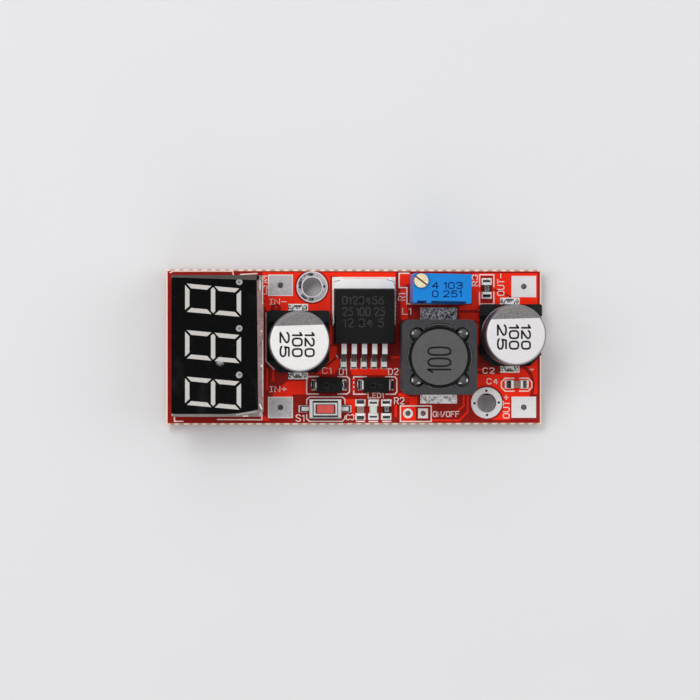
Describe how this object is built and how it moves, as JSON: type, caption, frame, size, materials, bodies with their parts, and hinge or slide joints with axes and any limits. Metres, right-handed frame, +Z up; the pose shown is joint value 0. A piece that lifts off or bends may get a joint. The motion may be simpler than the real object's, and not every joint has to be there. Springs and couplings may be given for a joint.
{
  "type": "step-down dc-dc converter module",
  "caption": "Red step-down converter board with a digit display, push button, blue trimmer, power inductor and can capacitors.",
  "frame": {"origin": "centred under the board, level with the clipped pin ends that the module stands on", "axes": "+X along the board from the display to the output pads, +Y across it, +Z up from the part side"},
  "size_m": [0.063, 0.026, 0.0137],
  "materials": {
    "board_red": "red solder mask over glass laminate",
    "tinned_copper": "dull tinned copper",
    "solder": "bright solder",
    "pin_metal": "tinned pins",
    "shell_grey": "glossy light grey moulding",
    "face_black": "glossy black face",
    "bar_grey": "diffusing light bars, unlit",
    "potting": "cast resin",
    "chip_black": "moulded epoxy",
    "base_black": "moulded black plastic",
    "can_metal": "satin can",
    "tab_metal": "bright tinned tab",
    "ferrite": "dark ferrite",
    "copper_wire": "enamelled copper wire",
    "trimmer_blue": "blue moulding",
    "screw_brass": "turned brass",
    "cover_metal": "pressed plated sheet",
    "plunger_red": "red moulded plunger",
    "chip_brown": "brown ceramic",
    "chip_dark": "glazed black film",
    "chip_end": "tinned end caps",
    "lamp_white": "white base strip",
    "lamp_lens": "clear resin lens"
  },
  "bodies": {
    "root": {"board": "board_red", "wire_pads": "tinned_copper", "screw_rings": "tinned_copper", "header_lands": "tinned_copper", "surface_pads": "tinned_copper", "surface_solder": "solder", "pin_solder": "solder", "display_shell": "shell_grey", "display_face": "face_black", "display_bars": "bar_grey", "display_potting": "potting", "display_pins": "pin_metal", "meter_chip_body": "chip_black", "meter_chip_leads": "pin_metal", "meter_supply_body": "chip_black", "meter_supply_leads": "pin_metal", "meter_resistor_body": "chip_dark", "meter_resistor_ends": "chip_end", "meter_capacitor_body": "chip_brown", "meter_capacitor_ends": "chip_end", "input_capacitor_base": "base_black", "input_capacitor_can": "can_metal", "input_capacitor_terminals": "pin_metal", "output_capacitor_base": "base_black", "output_capacitor_can": "can_metal", "output_capacitor_terminals": "pin_metal", "regulator_tab": "tab_metal", "regulator_body": "chip_black", "regulator_leads": "tab_metal", "inductor_shield": "ferrite", "inductor_drum": "ferrite", "inductor_winding": "copper_wire", "inductor_clips": "solder", "trimmer_housing": "trimmer_blue", "trimmer_potting": "potting", "trimmer_pins": "pin_metal", "input_diode_body": "chip_black", "input_diode_leads": "pin_metal", "output_diode_body": "chip_black", "output_diode_leads": "pin_metal", "button_base": "base_black", "button_cover": "cover_metal", "button_dome": "cover_metal", "button_terminals": "pin_metal", "lamp_base": "lamp_white", "lamp_lens": "lamp_lens", "lamp_ends": "chip_end", "ceramic_capacitor_body": "chip_brown", "ceramic_capacitor_ends": "chip_end", "lamp_resistor_body": "chip_dark", "lamp_resistor_ends": "chip_end", "feedback_resistor_body": "chip_dark", "feedback_resistor_ends": "chip_end", "filter_capacitor_body": "chip_brown", "filter_capacitor_ends": "chip_end"},
    "plunger": {"button_plunger": "plunger_red"},
    "screw": {"trimmer_screw": "screw_brass"}
  },
  "joints": [
    {"name": "button_press", "type": "slide", "parent": "root", "child": "plunger", "axis": [0, 0, -1], "range_m": [0, 0.00025], "stiffness_N_per_m": 2000, "springref_m": -0.0004, "deforming": ["button_dome"]},
    {"name": "screw_turn", "type": "hinge", "parent": "root", "child": "screw", "pos_m": [0.01053, 0.01088, 0.0131], "axis": [0, 0, 1], "continuous": true}
  ]
}
